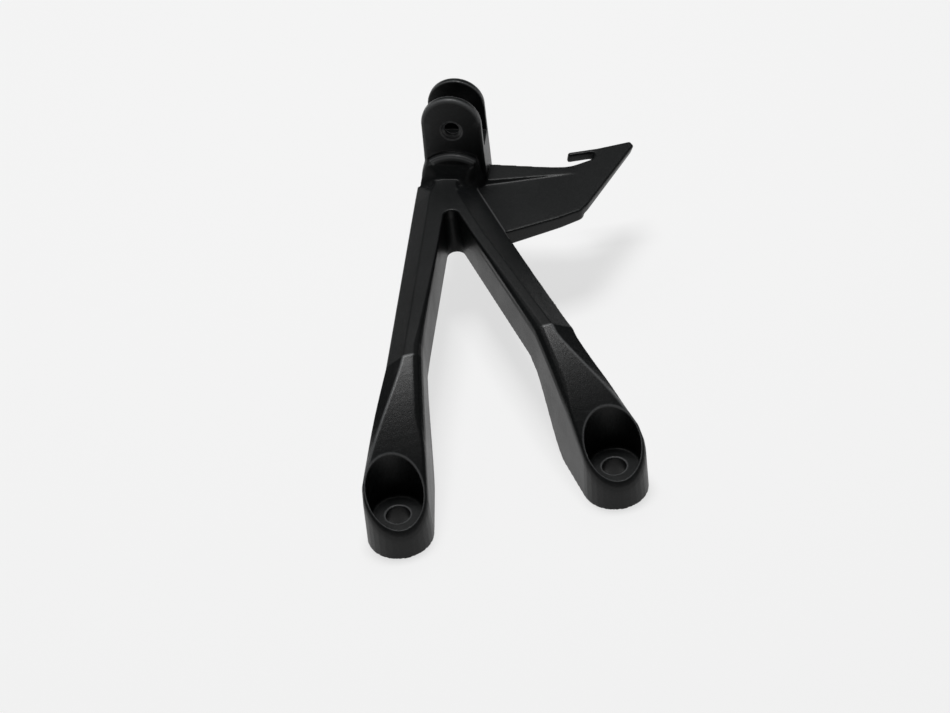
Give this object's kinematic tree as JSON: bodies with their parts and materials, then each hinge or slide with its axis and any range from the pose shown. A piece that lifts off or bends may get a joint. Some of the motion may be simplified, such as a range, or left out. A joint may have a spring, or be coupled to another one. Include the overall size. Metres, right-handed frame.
{
  "type": "motorcycle footrest hanger",
  "caption": "V-shaped cast motorcycle footrest hanger: bolt cups at the feet, a forked clevis for the folding footrest and a side arm ending in a strap hook.",
  "frame": {"origin": "on the left foot's flat mounting face, 10.5 mm behind the axis of the left bolt hole, towards the clevis", "axes": "+X from the left bolt hole to the right one, +Y from the feet towards the clevis, +Z along the bolts, away from the motorcycle"},
  "size_m": [0.1453, 0.1798, 0.082],
  "materials": {
    "satin_black_paint": "satin"
  },
  "bodies": {
    "root": {"footrest_hanger": "satin_black_paint"}
  },
  "joints": []
}
